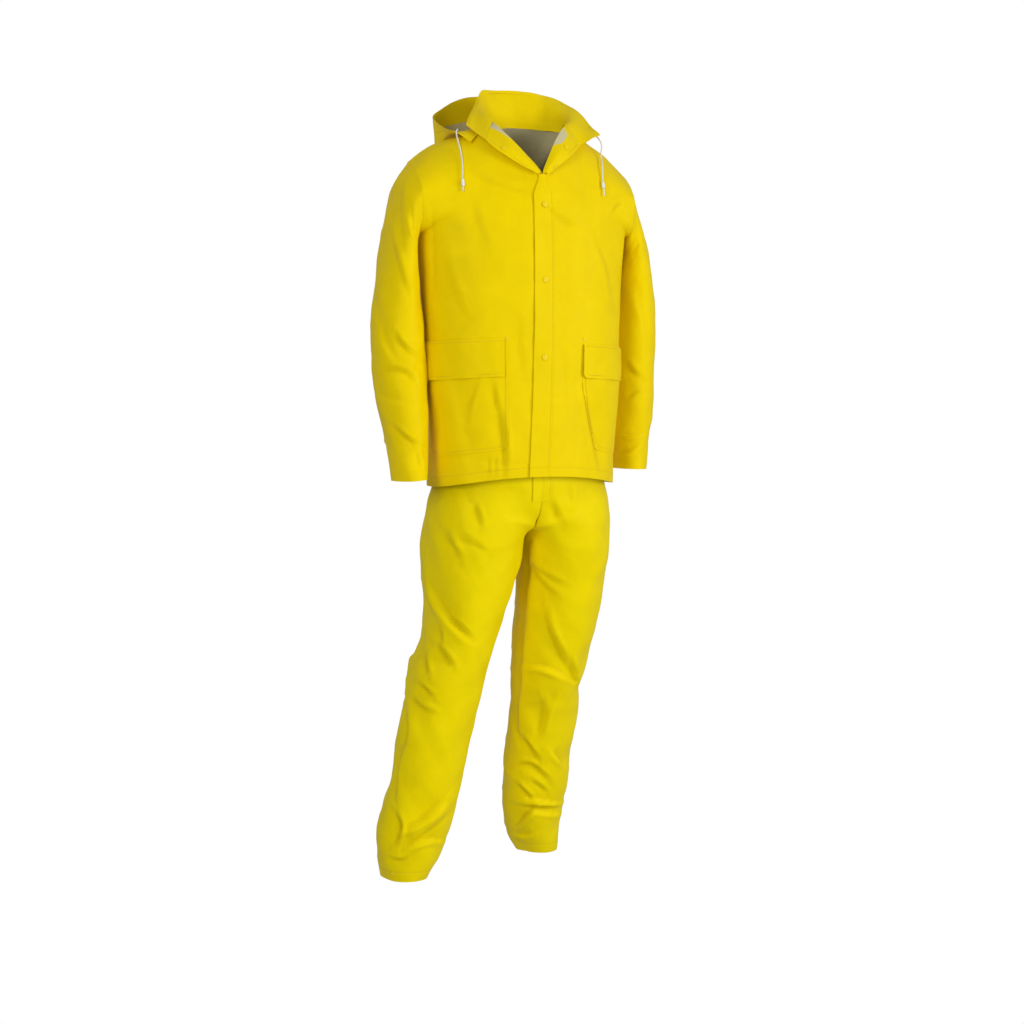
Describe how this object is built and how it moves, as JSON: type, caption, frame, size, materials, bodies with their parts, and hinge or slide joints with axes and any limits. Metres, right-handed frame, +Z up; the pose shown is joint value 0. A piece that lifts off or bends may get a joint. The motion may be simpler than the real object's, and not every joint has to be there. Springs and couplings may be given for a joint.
{
  "type": "two-piece rain suit, held up by its wearer",
  "caption": "Yellow two-piece rain suit as worn: hooded snap-front jacket with flap pockets and open lapels, over straight trousers, hollow and open at neck, cuffs and hems.",
  "frame": {"origin": "middle of the base of the wearer's neck, 1560 mm above the wearer's floor, where the shoulders and neck hold the jacket up", "axes": "+X to the wearer's left, -Y the way the wearer faces, +Z up"},
  "size_m": [0.614, 0.3629, 1.5808],
  "materials": {
    "coated_cloth": "satin",
    "snap_plastic": "gloss",
    "cord_white": "matte",
    "tip_plastic": "gloss"
  },
  "bodies": {
    "root": {"jacket_front_right": "coated_cloth", "jacket_front_left": "coated_cloth", "jacket_back": "coated_cloth", "sleeve_right": "coated_cloth", "sleeve_left": "coated_cloth", "trouser_front_right": "coated_cloth", "trouser_back_right": "coated_cloth", "trouser_front_left": "coated_cloth", "trouser_back_left": "coated_cloth", "collar": "coated_cloth", "lapel_right": "coated_cloth", "lapel_left": "coated_cloth", "hood": "coated_cloth", "pocket_right": "coated_cloth", "pocket_flap_right": "coated_cloth", "pocket_left": "coated_cloth", "pocket_flap_left": "coated_cloth", "storm_flap": "coated_cloth", "fly": "coated_cloth", "snap_front_top": "snap_plastic", "snap_front_middle": "snap_plastic", "snap_front_low": "snap_plastic", "rivet_pocket_right": "snap_plastic", "rivet_pocket_left": "snap_plastic", "snap_lapel_right": "snap_plastic", "snap_lapel_left": "snap_plastic", "snap_ankle_right": "snap_plastic", "snap_ankle_left": "snap_plastic", "drawstring_right": "cord_white", "drawstring_left": "cord_white", "cord_end_right": "tip_plastic", "cord_end_left": "tip_plastic"}
  },
  "joints": []
}
